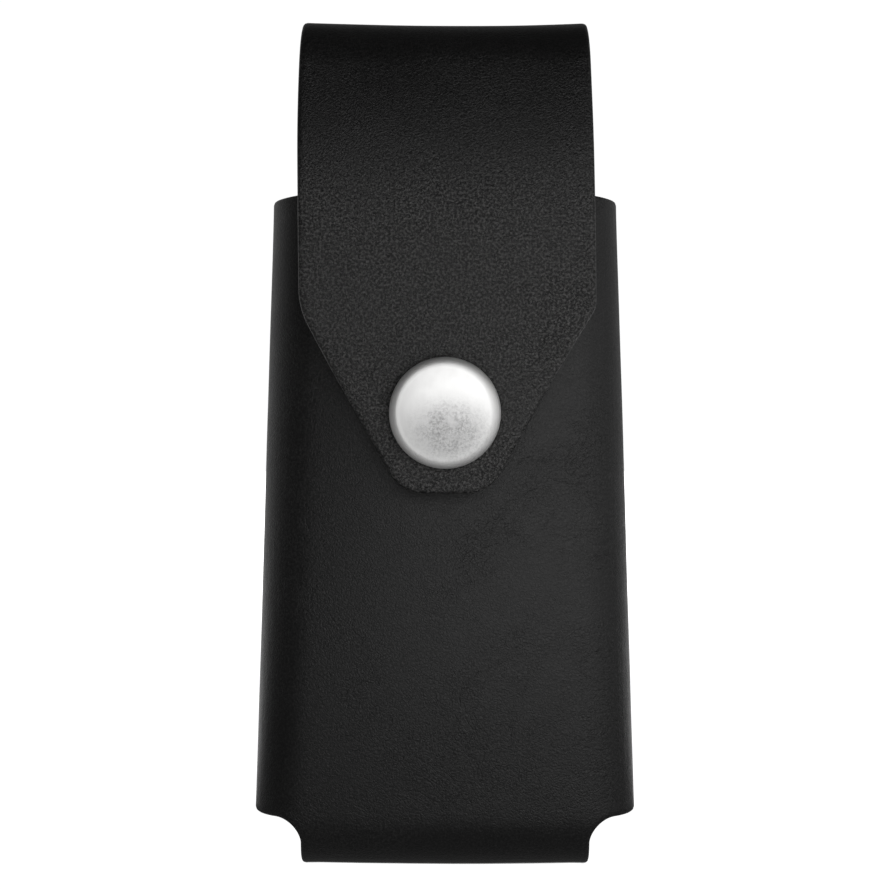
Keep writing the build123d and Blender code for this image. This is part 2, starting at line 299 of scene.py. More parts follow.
def fold_hide(girth, along):
    """Outer surface of the folded hide."""
    path_y, path_z, _ = hide_path.at(along)
    z = np.maximum(path_z, wing_z)
    plan_x, plan_y = wrap_point(girth, z)
    front = 1 - soft_step(along, hide_path.start_of(BOTTOM), hide_path.start_of(BACK_FOLD))
    under = 1 - soft_step(np.abs(girth), 18 * MM, 30 * MM)
    folded_y = plan_y + (path_y - front_y) * under
    x = plan_x * front + girth * (1 - front)
    y = np.where(along < hide_path.start_of(BOTTOM), folded_y, path_y + (plan_y - front_y) * front)
    z = path_z - mouth_dip * soft_step(np.abs(girth), 17 * MM, 27 * MM) * soft_step(
        -along, -mouth_along - 12 * MM, -mouth_along
    )
    on_back = soft_step(along, hide_path.start_of(BACK_FOLD), hide_path.start_of(BACK))
    on_back *= 1 - soft_step(along, hide_path.start_of(CROWN_BACK) - 14 * MM, hide_path.start_of(CROWN_BACK))
    across = (girth / strip_half) ** 2
    crown = soft_step(along, hide_path.start_of(CROWN_BACK) - 8 * MM, hide_path.start_of(CROWN))
    crown *= 1 - soft_step(along, hide_path.start_of(CROWN_FRONT), hide_path.start_of(LEAN))
    flap = soft_step(along, hide_path.start_of(STEEP), hide_path.start_of(DROP) + 8 * MM)
    x = x + flap_shift * flap * (1 - soft_step(along, snap_along - 16 * MM, snap_along - 4 * MM))
    x = x - crown_waist * crown * girth / strip_half
    return np.stack([x, y - layer_gap * on_back + flap_bow * across * flap, z + crown_curl * across * crown], -1)


def surface_normals(fold, girth, along):
    """Outward normals of a folded surface, from two small steps on the pattern."""
    step = 0.02 * MM
    across = fold(girth + step, along) - fold(girth - step, along)
    ahead = fold(girth, along + step) - fold(girth, along - step)
    normal = np.cross(ahead, across)
    return normal / np.linalg.norm(normal, axis=1, keepdims=True)


# %% [markdown]
# ## Cutting a piece of leather
# A cut piece needs an even skin of points, and more of them along its edge, where the leather is rounded.
# Rows of points follow the cut line a little way in, a plain grid fills the rest, and a Delaunay
# triangulation joins them. First comes the cut line: straight runs, rounded corners, even steps along both.

# %% Cut line
edge_rows = (0.0, 0.12, 0.4, 1.0, 1.9)
arc_step = 0.5 * MM


def is_seam(a, b, seams):
    """Whether a run lies on a seam, from its two ends' distances along the pattern."""
    return any(abs(a - s) < 1e-7 and abs(b - s) < 1e-7 for s in seams)


def rounded_outline(corners):
    """Closed line through (x, y, radius) corners, each rounded, as dense points on the arcs only."""
    line = []
    for number, (x, y, radius) in enumerate(corners):
        here = np.array([x, y])
        if radius == 0:
            line.append(here)
            continue
        before = np.array(corners[number - 1][:2]) - here
        after = np.array(corners[(number + 1) % len(corners)][:2]) - here
        before, after = before / np.linalg.norm(before), after / np.linalg.norm(after)
        half_angle = math.acos(np.clip(before @ after, -1, 1)) / 2
        reach = radius / math.tan(half_angle)
        middle = here + (before + after) / np.linalg.norm(before + after) * radius / math.sin(half_angle)
        first, last = here + before * reach - middle, here + after * reach - middle
        swept = math.acos(np.clip(first @ last / radius**2, -1, 1))
        count = max(4, int(radius * swept / arc_step))
        for i in range(count + 1):
            t = i / count
            spoke = (first * math.sin((1 - t) * swept) + last * math.sin(t * swept)) / math.sin(swept)
            line.append(middle + spoke)
    return np.array(line)


def even_steps(line, step, seams):
    """Points along a closed line at about one step, with a flag on those that lie on a seam."""
    points, on_seam = [], []
    for a, b in zip(line, np.roll(line, -1, axis=0)):
        seam = is_seam(a[1], b[1], seams)
        length = np.linalg.norm(b - a)
        count = max(1, round(length / step))
        shares = np.arange(count) / count
        if seam:
            inner = edge_r * np.array(edge_rows)
            grid = np.linspace(inner[-1] + step / 2, length - inner[-1] - step / 2, round(length / step))
            shares = np.concatenate([inner, grid, length - inner[:0:-1]]) / length
        points.extend(a + (b - a) * t for t in shares)
        on_seam.extend([seam] * len(shares))
    return np.array(points), np.array(on_seam)


# %% [markdown]
# A point's distance from the cut line says how far the leather is rounded there. Seams are left out.

# %% Where a point lies
def distance_to_edge(points, line, seams):
    """Distance of each point from the cut line, seams left out."""
    best = np.full(len(points), 1.0)
    for a, b in zip(line, np.roll(line, -1, axis=0)):
        if is_seam(a[1], b[1], seams):
            continue
        span = b - a
        t = np.clip(((points - a) @ span) / (span @ span), 0, 1)
        best = np.minimum(best, np.linalg.norm(points - a - t[:, None] * span, axis=1))
    return best


def inside(points, line):
    """Whether each point is inside the closed line."""
    hit = np.zeros(len(points), bool)
    for a, b in zip(line, np.roll(line, -1, axis=0)):
        if a[1] == b[1]:
            continue
        crosses = (points[:, 1] >= min(a[1], b[1])) & (points[:, 1] < max(a[1], b[1]))
        x = a[0] + (points[:, 1] - a[1]) / (b[1] - a[1]) * (b[0] - a[0])
        hit ^= crosses & (points[:, 0] < x)
    return hit


# %% [markdown]
# The points of a pattern are the cut line's own, a few rows inside it, and a grid that stays clear of both.

# %% Points of a pattern
def signed(points, face):
    """Twice the signed area of a flat face."""
    loop = points[list(face)]
    return np.sum(loop[:, 0] * np.roll(loop[:, 1], -1) - np.roll(loop[:, 0], -1) * loop[:, 1])


def inset_rows(edge, on_seam):
    """Rows of points that follow the edge inwards. The line runs anticlockwise, so inwards is to the left."""
    ahead = np.roll(edge, -1, axis=0) - np.roll(edge, 1, axis=0)
    ahead /= np.linalg.norm(ahead, axis=1, keepdims=True)
    inwards = np.stack([-ahead[:, 1], ahead[:, 0]], -1)
    near_seam = on_seam | np.roll(on_seam, 1)
    return np.concatenate([edge[~near_seam] + inwards[~near_seam] * edge_r * row for row in edge_rows[1:]])


def pattern_points(outline, seams, grid_step, edge_step):
    """Points that fill a pattern, their distance from the cut line, and how many lie on its edge."""
    if signed(outline, range(len(outline))) < 0:
        outline = outline[::-1]
    edge, on_seam = even_steps(outline, edge_step, seams)
    rows = inset_rows(edge, on_seam)
    keep = inside(rows, outline)
    room = distance_to_edge(rows, outline, seams)
    wanted = np.repeat(np.array(edge_rows[1:]) * edge_r, len(rows) // (len(edge_rows) - 1))
    rows = rows[keep & (room > wanted * 0.93)]
    low, high = outline.min(axis=0), outline.max(axis=0)
    count = np.maximum(2, np.round((high - low) / grid_step)).astype(int)
    grid_x = np.linspace(low[0], high[0], count[0] + 1)
    grid_y = np.linspace(low[1], high[1], count[1] + 1)
    grid = np.stack(np.meshgrid(grid_x, grid_y), -1).reshape(-1, 2)
    clear = edge_rows[-1] * edge_r + grid_step * 0.55
    grid = grid[inside(grid, outline)]
    grid = grid[distance_to_edge(grid, outline, seams) > clear]
    for seam in seams:
        grid = grid[np.abs(grid[:, 1] - seam) > grid_step * 0.5]
    points = np.concatenate([edge, rows, grid])
    return points, distance_to_edge(points, outline, seams), len(edge)


# %% [markdown]
# The triangulation also fills the hollows of the outline, such as the notches. Those triangles are dropped.

# %% Faces
def faces_inside(points, faces, on_edge, outline):
    """Leaves out the triangles that fill the hollows of the outline, and the slivers along its straight runs."""
    middle = points[faces].mean(axis=1)
    area = np.array([abs(signed(points, face)) for face in faces])
    outer = on_edge[faces].all(axis=1) & (~inside(middle, outline) | (area < 1e-4 * MM**2))
    return faces[~outer]


def turn_outwards(piece):
    """Make a closed piece's faces point outwards."""
    work = bmesh.new()
    work.from_mesh(piece.data)
    bmesh.ops.recalc_face_normals(work, faces=work.faces)
    work.to_mesh(piece.data)
    work.free()


# %% [markdown]
# The same flat mesh makes the grain side and the flesh side, and a band along the cut line closes the solid.
# The pattern is kept as the UV map, so grain bends with the hide. Edges on a seam are marked sharp, which
# keeps the shading of both pieces from turning into the hidden wall between them.

# %% Cut and fold a piece
GRAIN, FLESH, EDGE = 0, 1, 2
edge_share = 0.3


def new_object(name, data):
    """Put a mesh or a camera into the scene."""
    piece = bpy.data.objects.new(name, data)
    bpy.context.scene.collection.objects.link(piece)
    return piece


def two_sides(points, room, fold, relief):
    """Grain side and flesh side in space; near the cut edge both sink towards each other along an arc."""
    girth, along = points[:, 0], points[:, 1]
    normals = surface_normals(fold, girth, along)
    surface = fold(girth, along) + normals * relief(girth, along)[:, None]
    drop = edge_r - np.sqrt(np.maximum(edge_r**2 - np.maximum(edge_r - room, 0) ** 2, 0))
    return surface - normals * drop[:, None], surface - normals * (hide_t - drop)[:, None]


def leather_mesh(name, points, room, faces, ring, seams, places):
    """The mesh of a cut piece: faces of both sides, the band round its edge, finishes and pattern."""
    count, along = len(points), points[:, 1]
    mesh_faces, finish = [], []
    for face in faces:
        at_edge = np.mean([room[i] for i in face]) < edge_share * edge_r
        face = face.tolist() if signed(points, face) < 0 else face[::-1].tolist()
        mesh_faces += [face, [i + count for i in face[::-1]]]
        finish += [EDGE, EDGE] if at_edge else [GRAIN, FLESH]
    smooth = [True] * len(mesh_faces)
    for a, b in ring:
        mesh_faces.append([a, b, b + count, a + count])
        finish.append(EDGE)
        smooth.append(not is_seam(along[a], along[b], seams))
    mesh = bpy.data.meshes.new(name)
    mesh.from_pydata(places.tolist(), [], mesh_faces)
    mesh.polygons.foreach_set("material_index", finish)
    mesh.polygons.foreach_set("use_smooth", smooth)
    layout = mesh.uv_layers.new(name="Pattern")
    corner_points = np.empty(len(mesh.loops), int)
    mesh.loops.foreach_get("vertex_index", corner_points)
    layout.data.foreach_set("uv", points[corner_points % count].ravel())
    mesh.validate()
    mesh.update()
    return mesh


def cut_leather(name, outline, seams, fold, relief, grid_step=1.25 * MM, edge_step=0.7 * MM):
    """A closed piece of leather from a flat outline: grain side, flesh side and rounded cut edge."""
    points, room, edge_count = pattern_points(outline, seams, grid_step, edge_step)
    ring = [(i, (i + 1) % edge_count) for i in range(edge_count)]
    _, _, faces, came_from, _, _ = delaunay_2d_cdt([Vector(p / MM) for p in points], ring, [], 1, 1e-6, True)
    source = [ids[0] for ids in came_from]
    index = {old: new for new, old in enumerate(source)}
    ring = [(index[a], index[b]) for a, b in ring]
    points, room = points[source], room[source]
    faces = faces_inside(points, np.array(faces), np.array(source) < edge_count, outline)
    grain, flesh = two_sides(points, room, fold, relief)
    mesh = leather_mesh(name, points, room, faces, ring, seams, np.concatenate([grain, flesh]))
    piece = new_object(name, mesh)
    turn_outwards(piece)
    along = points[:, 1]
    for edge in mesh.edges:
        a, b = (along[v % len(along)] for v in edge.vertices)
        edge.use_edge_sharp = is_seam(a, b, seams)
    print(name, "has", len(mesh.polygons), "faces and", sum(e.use_edge_sharp for e in mesh.edges), "sharp seam edges")
    return piece


# %% [markdown]
# ## Marks that use leaves
# No hide lies perfectly flat. Slow waves a few hundredths of a millimetre high bend the reflections, and
# a pressed ring shows where metal bites into the leather.

# %% Relief
cap_press, rivet_press, rivet_soft = 0.3 * MM, 0.25 * MM, 1.4 * MM


def waves(girth, along):
    """Slow waves of a hide that has been wetted and formed."""
    u, v = girth / MM, along / MM
    slow = np.sin(u / 9.1 + 0.6 * np.sin(v / 13.0)) * np.sin(v / 17.3 + 1.1)
    fine = np.sin(u / 3.7 + v / 6.1) * np.sin(v / 4.9 - u / 7.7 + 0.5)
    return (0.05 * slow + 0.012 * fine) * MM


def pressed(girth, along, at, radius, depth, soft=2.0 * MM):
    """Depth of a round press mark, with a low swell round it."""
    away = np.hypot(girth - at[0], along - at[1])
    swell = np.exp(-(((away - radius - soft) / soft) ** 2)) * depth * 0.3
    return swell - depth * (1 - soft_step(away, radius - soft / 2, radius + soft / 2))


def hide_relief(girth, along):
    """Waves, the snap's mark in the flap, and the marks of the lower rivets in the wings."""
    relief = waves(girth, along) + pressed(girth, along, (0, snap_along), cap_r, cap_press)
    low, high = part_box("rivet_cap_right_wing")
    rivet_x, rivet_z = (low.x + high.x) / 2, (low.z + high.z) / 2
    rivet_girth = half_girth(rivet_z) - (rivet_x - wing_edge_x)
    rivet_along = hide_path.start_of(FOLD) + fold_front_r - rivet_z
    return relief + pressed(np.abs(girth), along, (rivet_girth, rivet_along), high.x - rivet_x, rivet_press, rivet_soft)


# %% [markdown]
# ## The hide
# The pattern is one long shape, but the flap bends at two places, and a piece can bend between two bodies
# only. So the pattern is parted where it never bends: on the back above the mouth, and in the middle of the
# crown. Both sides of a seam follow the same fold and its edges are sharp, so nothing shows there.

# %% Pattern of the hide
girth_low, girth_high = half_girth(wing_z), half_girth(mouth_z)
rear_seam = hide_path.start_of(BACK) + (mouth_z + 3 * MM - fold_back_r)
crown_seam = (hide_path.start_of(CROWN) + hide_path.start_of(CROWN_FRONT)) / 2
point_along = hide_path.length
tip_half, tip_r = 5.9 * MM, 5.0 * MM
chamfer_along = snap_along - 14.2 * MM
shoulder_left_r, shoulder_right_r = 10.0 * MM, 3.0 * MM

body_outline = rounded_outline([
    (-girth_high, mouth_along, wing_corner_r),
    (girth_high, mouth_along, wing_corner_r),
    (girth_low, wing_along, wing_corner_r),
    (strip_half, wing_along, notch_r),
    (strip_half, rear_seam, 0),
    (-strip_half, rear_seam, 0),
    (-strip_half, wing_along, notch_r),
    (-girth_low, wing_along, wing_corner_r),
])
rear_outline = rounded_outline([
    (-strip_half, rear_seam, 0), (strip_half, rear_seam, 0),
    (strip_half, crown_seam, 0), (-strip_half, crown_seam, 0),
])
front_outline = rounded_outline([
    (-strip_half, crown_seam, 0), (strip_half, crown_seam, 0),
    (strip_half, chamfer_along, shoulder_right_r), (tip_half, point_along, tip_r),
    (-tip_half, point_along, tip_r), (-strip_half, chamfer_along, shoulder_left_r),
])
print("Points on the three outlines:", len(body_outline), len(rear_outline), len(front_outline))

# %% Cut and fold the hide
hide_body = cut_leather("hide_body", body_outline, [rear_seam], fold_hide, hide_relief)
hide_rear = cut_leather("hide_rear", rear_outline, [rear_seam, crown_seam], fold_hide, hide_relief)
hide_front = cut_leather("hide_front", front_outline, [crown_seam], fold_hide, hide_relief, 0.9 * MM, 0.6 * MM)

# %% [markdown]
# ## The belt loop
# A second, shorter strap. Between its riveted tabs it stands off the back far enough for a belt. It is cut
# and folded by the same functions, along a path of its own.

# %% Path of the belt loop
loop_half = loop_high.x
loop_gap = loop_high.y - wing_y - hide_t
loop_bend_r, loop_tab = 4.5 * MM, 11.0 * MM
loop_turn = math.acos(1 - loop_gap / (2 * loop_bend_r))
loop_rise = 2 * loop_bend_r * math.sin(loop_turn)
tight_r, wide_r = loop_bend_r - hide_t / 2, loop_bend_r + hide_t / 2
loop_run = loop_high.z - loop_low.z - 2 * (loop_tab + loop_rise)
loop_path = SidePath(
    (wing_y + hide_t, loop_low.z),
    up,
    [
        (loop_tab, None), (tight_r, -loop_turn), (wide_r, loop_turn), (loop_run, None),
        (wide_r, loop_turn), (tight_r, -loop_turn), (loop_tab, None),
    ],
)
print("The strap is", round(loop_path.length / MM, 1), "mm long and", round(2 * loop_half / MM, 1), "mm wide")


# %% [markdown]
# A bent strap goes slightly hollow across its width where it is free, and its tabs are pressed in.

# %% Belt loop
loop_hollow, loop_corner_r = 0.35 * MM, 5 * MM


def fold_loop(girth, along):
    """Outer surface of the belt loop: its free stretch is a little hollow across, as a bent strap is."""
    y, z, _ = loop_path.at(along)
    free = soft_step(along, loop_tab, loop_tab + 10 * MM)
    free *= 1 - soft_step(along, loop_path.length - loop_tab - 10 * MM, loop_path.length - loop_tab)
    return np.stack([girth, y - loop_hollow * (girth / loop_half) ** 2 * free, z], -1)


def loop_relief(girth, along):
    """Waves, and the marks of the four rivets in the tabs."""
    low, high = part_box("rivet_cap_right_loop_lower")
    seat = ((low.x + high.x) / 2, (low.z + high.z) / 2 - loop_low.z)
    from_end = np.minimum(along, loop_path.length - along)
    mark = pressed(np.abs(girth), from_end, seat, (high.x - low.x) / 2, rivet_press, rivet_soft)
    return 0.6 * waves(girth + 40 * MM, along) + mark


loop_outline = rounded_outline([
    (-loop_half, 0, loop_corner_r), (loop_half, 0, loop_corner_r),
    (loop_half, loop_path.length, loop_corner_r), (-loop_half, loop_path.length, loop_corner_r),
])
belt_strap = cut_leather("belt_strap", loop_outline, [], fold_loop, loop_relief, 1.1 * MM)


# %% [markdown]
# ## Turned metal
# The snap's cap is stamped round. A stamped round part is its profile turned about an axis, and the points
# on the axis are merged into one pole.

# %% Turning
def turned(name, profile, centre, outwards, around=96):
    """A closed solid turned about Y. The profile is (radius, height), from the pole on top to the one below."""
    rings, faces = [], []
    for radius, height in profile:
        turns = np.arange(around) * 2 * math.pi / around
        rings.append(np.stack([
            centre[0] + radius * np.cos(turns),
            np.full(around, centre[1] + outwards * height),
            centre[2] + radius * np.sin(turns),
        ], -1))
    for row in range(len(rings) - 1):
        for i in range(around):
            j = (i + 1) % around
            faces.append([row * around + i, row * around + j, (row + 1) * around + j, (row + 1) * around + i])
    mesh = bpy.data.meshes.new(name)
    mesh.from_pydata(np.concatenate(rings).tolist(), [], faces)
    work = bmesh.new()
    work.from_mesh(mesh)
    bmesh.ops.remove_doubles(work, verts=work.verts, dist=1e-7)
    bmesh.ops.recalc_face_normals(work, faces=work.faces)
    for face in work.faces:
        face.smooth = True
    work.to_mesh(mesh)
    work.free()
    piece = new_object(name, mesh)
    print(name, "has", len(mesh.polygons), "faces")
    return piece


def arc(centre, radii, start, end, count):
    """Points on part of an ellipse, angles in degrees from the radius axis."""
    angles = np.radians(np.linspace(start, end, count))
    return [(centre[0] + radii[0] * math.cos(a), centre[1] + radii[1] * math.sin(a)) for a in angles]


# %% [markdown]
# The profile is a low dome, a rounded shoulder, a rim curled back, and the post spread behind the socket.

# %% Snap cap
cap_h = flap_y - cap_low.y
cap_face_r, cap_shoulder_h = cap_r - 1.05 * MM, 0.95 * MM
crown_h, curl_r = 0.36 * MM, 0.35 * MM
dome = [(cap_face_r * t, cap_h - crown_h * t * t) for t in np.linspace(0, 1, 14)]
shoulder = arc((cap_face_r, cap_shoulder_h), (cap_r - cap_face_r, cap_h - crown_h - cap_shoulder_h), 88, 0, 12)
curl = arc((cap_r - curl_r, curl_r), (curl_r, curl_r), 0, -90, 6)
post_mm = [(1.7, 0), (1.7, -3.1), (2.8, -3.15), (2.75, -3.4), (1.2, -3.45), (0, -3.3)]
post = [(radius * MM, height * MM) for radius, height in post_mm]
snap_dome = turned("snap_dome", dome + shoulder + curl + post, (0, flap_y, snap_z), -1, 160)


# %% [markdown]
# ## A bench for node trees
# Materials are sums of patterns, and so are rules for shapes. Written as plain arithmetic they are easy to
# read, so one small class wraps an output socket: adding or multiplying two of them adds the Math nodes.

# %% Wire
class Wire:
    """A number on its way through a node tree."""

    def __init__(self, board, socket):
        self.board, self.socket = board, socket

    def math(self, operation, first, second=0.0):
        return self.board.node("ShaderNodeMath", {"operation": operation}, {0: first, 1: second})

    def __add__(self, other):
        return self.math("ADD", self, other)

    def __sub__(self, other):
        return self.math("SUBTRACT", self, other)

    def __rsub__(self, other):
        return self.math("SUBTRACT", other, self)

    def __mul__(self, other):
        return self.math("MULTIPLY", self, other)

    def __pow__(self, other):
        return self.math("POWER", self, other)

    __radd__, __rmul__ = __add__, __mul__


# %% [markdown]
# Every other node comes from one method of the board, which sets its options first and then its inputs.
# A bench is the board of one material.

# %% Board
class Board:
    """A node tree being made."""

    def __init__(self, tree):
        self.tree = tree

    def node(self, kind, settings=None, inputs=None, out=0):
        node = self.tree.nodes.new(kind)
        for key, value in (settings or {}).items():
            if key == "stops":
                self.set_stops(node.color_ramp, value)
            else:
                setattr(node, key, value)
        for key, value in (inputs or {}).items():
            self.connect(node.inputs[key], value)
        return Wire(self, node.outputs[out])

    def connect(self, socket, value):
        if isinstance(value, Wire):
            self.tree.links.new(value.socket, socket)
        else:
            socket.default_value = value

    @staticmethod
    def set_stops(ramp, stops):
        while len(ramp.elements) < len(stops):
            ramp.elements.new(1.0)
        for element, (place, value) in zip(ramp.elements, stops):
            element.position = place
            element.color = (value, value, value, 1)

    def vector(self, operation, first, second=(0, 0, 0), out=0):
        return self.node("ShaderNodeVectorMath", {"operation": operation}, {0: first, 1: second}, out)

    def axis(self, vector, number):
        return self.node("ShaderNodeSeparateXYZ", {}, {0: vector}, number)

    def step(self, value, start, end):
        return self.node("ShaderNodeMapRange", {"interpolation_type": "SMOOTHSTEP"}, {
            "Value": value, "From Min": start, "From Max": end,
        })


# %% Bench
class Bench(Board):
    """A material being made."""

    def __init__(self, name, **fixed):
        self.material = bpy.data.materials.new(name)
        self.material.use_nodes = True
        super().__init__(self.material.node_tree)
        self.shader = self.tree.nodes["Principled BSDF"]
        for socket, value in fixed.items():
            self.shader.inputs[socket.replace("_", " ")].default_value = value
        self.place = self.node("ShaderNodeTexCoord", {}, {}, 3)

    def feed(self, **wires):
        for socket, value in wires.items():
            self.connect(self.shader.inputs[socket.replace("_", " ")], value)
        return self.material

    def noise(self, place, scale, detail=2.0, roughness=0.5, distortion=0.0):
        return self.node("ShaderNodeTexNoise", {}, {
            "Vector": place, "Scale": scale, "Detail": detail, "Roughness": roughness, "Distortion": distortion,
        })

    def tint(self, share, dark, light):
        return self.node("ShaderNodeMix", {"data_type": "RGBA"}, {0: share, 6: (*dark, 1), 7: (*light, 1)}, 2)

    def bump(self, height, strength, distance):
        return self.node("ShaderNodeBump", {}, {"Strength": strength, "Distance": distance, "Height": height})


def finish_with(piece, materials):
    """Give a piece its materials, in the order of its faces' material numbers."""
    piece.data.materials.clear()
    for material in materials:
        piece.data.materials.append(material)


# %% [markdown]
# ## Leather
# Black smooth leather looks almost flat from afar, and all its life is in the reflections. Close up it has a
# net of cells under half a millimetre wide, worm-like threads between them, faint creases where the
# hide is loose, and patches that a hand has polished. All of it lies on the pattern, so it bends with it.

# %% Grain side
never = 9.0  # metres along the pattern, far past its end


def grain_leather(name, flap_along=never):
    """Leather whose grain is lighter and stands out more beyond one place along the pattern."""
    bench = Bench(name, Specular_IOR_Level=0.5)
    place = bench.node("ShaderNodeUVMap", {"uv_map": "Pattern"})
    # From this place along the pattern on, the grain's specks are lighter and its bump deeper; before it, over the
    # crown and the body, the leather is darker.
    grain_lift = bench.step(bench.axis(place, 1), flap_along, flap_along + 14 * MM)
    drift = bench.node("ShaderNodeTexNoise", {}, {"Vector": place, "Scale": 1300.0}, 1)
    warp = bench.vector("MULTIPLY", drift, (0.0005, 0.0005, 0))
    cells = bench.node("ShaderNodeTexVoronoi", {"feature": "DISTANCE_TO_EDGE"}, {
        "Vector": bench.vector("ADD", place, warp), "Scale": 2300.0,
    })
    net = bench.node("ShaderNodeValToRGB", {"stops": ((0.0, 0.0), (0.2, 1.0))}, {0: cells})
    worms = bench.noise(place, 2500.0, 3.0, 0.6, 1.1)
    threads = bench.step(worms, 0.46, 0.62)
    fine = bench.noise(place, 5200.0, 2.0)
    speckle = bench.step(bench.noise(place, 2900.0, 2.0, 0.6), 0.45, 0.62)
    loose = bench.step(bench.noise(place, 55.0, 3.0, 0.6), 0.35, 0.7)
    folds = bench.noise(place, 150.0, 3.0, 0.5, 1.6)
    crease = 1 - bench.step(folds.math("ABSOLUTE", folds - 0.5), 0.0, 0.02)
    rubbed = bench.noise(place, 240.0, 5.0, 0.65)
    grain = net * 0.35 + worms * 0.75 + fine * 0.5
    return bench.feed(
        Base_Color=bench.tint(
            (threads * 0.3 + speckle * 0.7) * (0.2 + grain_lift * 0.8) * (0.7 + loose * 0.4),
            (0.0028, 0.0028, 0.003), (0.112, 0.110, 0.108),
        ),
        Roughness=0.30 + rubbed * 0.12 + worms * 0.1 - net * 0.04,
        Normal=bench.bump(grain * (0.7 + loose * 0.5) * (1 + grain_lift) - crease * loose * 0.5, 0.66, 0.00011),
    )


# %% [markdown]
# The flesh side, inside the pocket and under the flap, is napped: short fibres in soft clumps, dull and
# dusty. The cut edge is dyed and rubbed smooth, but a few fibres always stand out where the knife left them.

# %% Flesh side and cut edge
def flesh_leather(name):
    """Napped leather: fibres in soft clumps."""
    bench = Bench(name, Specular_IOR_Level=0.2)
    fibres = bench.noise(bench.place, 1500.0, 6.0, 0.75, 0.8)
    clumps = bench.noise(bench.place, 220.0, 4.0, 0.6)
    return bench.feed(
        Base_Color=bench.tint(fibres * 0.7 + clumps * 0.3, (0.014, 0.0137, 0.0135), (0.085, 0.082, 0.079)),
        Roughness=0.85 + fibres * 0.12,
        Normal=bench.bump(fibres + clumps * 0.6, 0.8, 0.0003),
    )


def edge_leather(name):
    """A dyed and rubbed cut edge with a few standing fibres."""
    bench = Bench(name, Specular_IOR_Level=0.5)
    fibres = bench.noise(bench.place, 2600.0, 5.0, 0.7)
    wear = bench.step(bench.noise(bench.place, 180.0, 4.0, 0.7), 0.42, 0.68)
    return bench.feed(
        Base_Color=bench.tint(fibres * 0.35 + wear * fibres * 0.65, (0.006, 0.006, 0.006), (0.05, 0.048, 0.045)),
        Roughness=0.40 + fibres * 0.15 + wear * 0.12,
        Normal=bench.bump(fibres, 0.6, 0.00014),
    )


# %% Finish the leather
grain_lift_from = hide_path.start_of(LEAN) - 5 * MM
hide_finish = [grain_leather("hide_grain", grain_lift_from), flesh_leather("hide_flesh"), edge_leather("hide_edge")]
strap_finish = [grain_leather("strap_grain"), flesh_leather("strap_flesh"), edge_leather("strap_edge")]
for piece in (hide_body, hide_rear, hide_front):
    finish_with(piece, hide_finish)
finish_with(belt_strap, strap_finish)
print("Leather finishes:", [material.name for material in hide_finish + strap_finish])

# %% [markdown]
# ## Nickel
# The snap's cap is satin nickel that has been carried for a while: even on top, speckled with small pits
# and stains on its lower half, which is also painted darker as shade. The rivets and the hidden fittings are plainer.

# %% Metal finishes
def nickel(name, colour, rough, worn):
    """Plain nickel, with a few spots and stains where it is worn."""
    bench = Bench(name, Metallic=1.0)
    specks = bench.step(bench.noise(bench.place, 3200.0, 3.0, 0.7), 0.5, 0.7)
    stains = bench.noise(bench.place, 420.0, 4.0, 0.6)
    spots = specks * bench.step(bench.noise(bench.place, 150.0, 2.0), 0.42, 0.6) * worn
    return bench.feed(
        Base_Color=bench.tint(spots + (stains - 0.5) * 0.2 * worn, colour, tuple(c * 0.62 for c in colour)),
        Roughness=rough + stains * 0.08 + spots * 0.2,
        Normal=bench.bump(spots + stains * 0.5 * worn, 0.2, 0.00003),
    )


def worn_and_shaded_nickel(name, middle, radius):
    """The cap: bright, with a soft shoulder, and below its middle a patch painted darker as shade, finely pitted by
    wear.
    """
    bench = Bench(name, Metallic=1.0)

    def away(from_point, squeeze=(1, 0, 1)):
        offset = bench.vector("SUBTRACT", bench.place, from_point)
        return bench.vector("LENGTH", bench.vector("MULTIPLY", offset, squeeze), out=1)

    x, y, z = middle
    shoulder = bench.step(away(middle), radius * 0.80, radius * 0.93)
    # A broad patch below the middle: painted shade that darkens the cap's lower face, and the place of its real pits
    # and stains.
    shade_and_wear_patch = 1 - bench.step(away((x + 0.7 * MM, y, z - 2.6 * MM), (0.8, 0, 1.0)), 1.0 * MM, 6.2 * MM)
    pits = bench.step(bench.noise(bench.place, 2900.0, 4.0, 0.8), 0.42, 0.62)
    scale = bench.step(bench.noise(bench.place, 520.0, 3.0, 0.6), 0.25, 0.55)
    haze = bench.noise(bench.place, 900.0, 4.0, 0.6)
    brushed = bench.noise(bench.vector("MULTIPLY", bench.place, (1, 1, 0.08)), 5200.0, 2.0)
    pitted = pits * scale * shade_and_wear_patch
    return bench.feed(
        Base_Color=bench.tint(
            shade_and_wear_patch * 0.5 + pitted * 0.34 + (haze - 0.5) * 0.4 * shade_and_wear_patch + (brushed - 0.5) * 0.08,
            (0.94, 0.938, 0.93), (0.34, 0.34, 0.342),
        ),
        Roughness=0.3 + haze * 0.08 + pitted * 0.12 + shoulder * 0.3,
        Normal=bench.bump(pitted * 0.6 + brushed * 0.2, 0.25, 0.00003),
    )


# %% Finish the metal
cap_finish = worn_and_shaded_nickel("cap_nickel", (0, cap_low.y, snap_z), cap_r)
rivet_finish = nickel("rivet_nickel", (0.66, 0.65, 0.63), 0.24, 0.6)
snap_finish = nickel("snap_nickel", (0.68, 0.66, 0.62), 0.2, 0.5)
wire_finish = nickel("spring_wire", (0.5, 0.5, 0.5), 0.3, 0.3)

finish_with(snap_dome, [cap_finish])
for node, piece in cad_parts.items():
    if node.startswith("rivet"):
        finish_with(piece, [rivet_finish])
    elif node == "snap_ring_spring":
        finish_with(piece, [wire_finish])
    elif node.startswith("snap"):
        finish_with(piece, [snap_finish])
print("Metal finishes:", [material.name for material in (cap_finish, rivet_finish, snap_finish, wire_finish)])

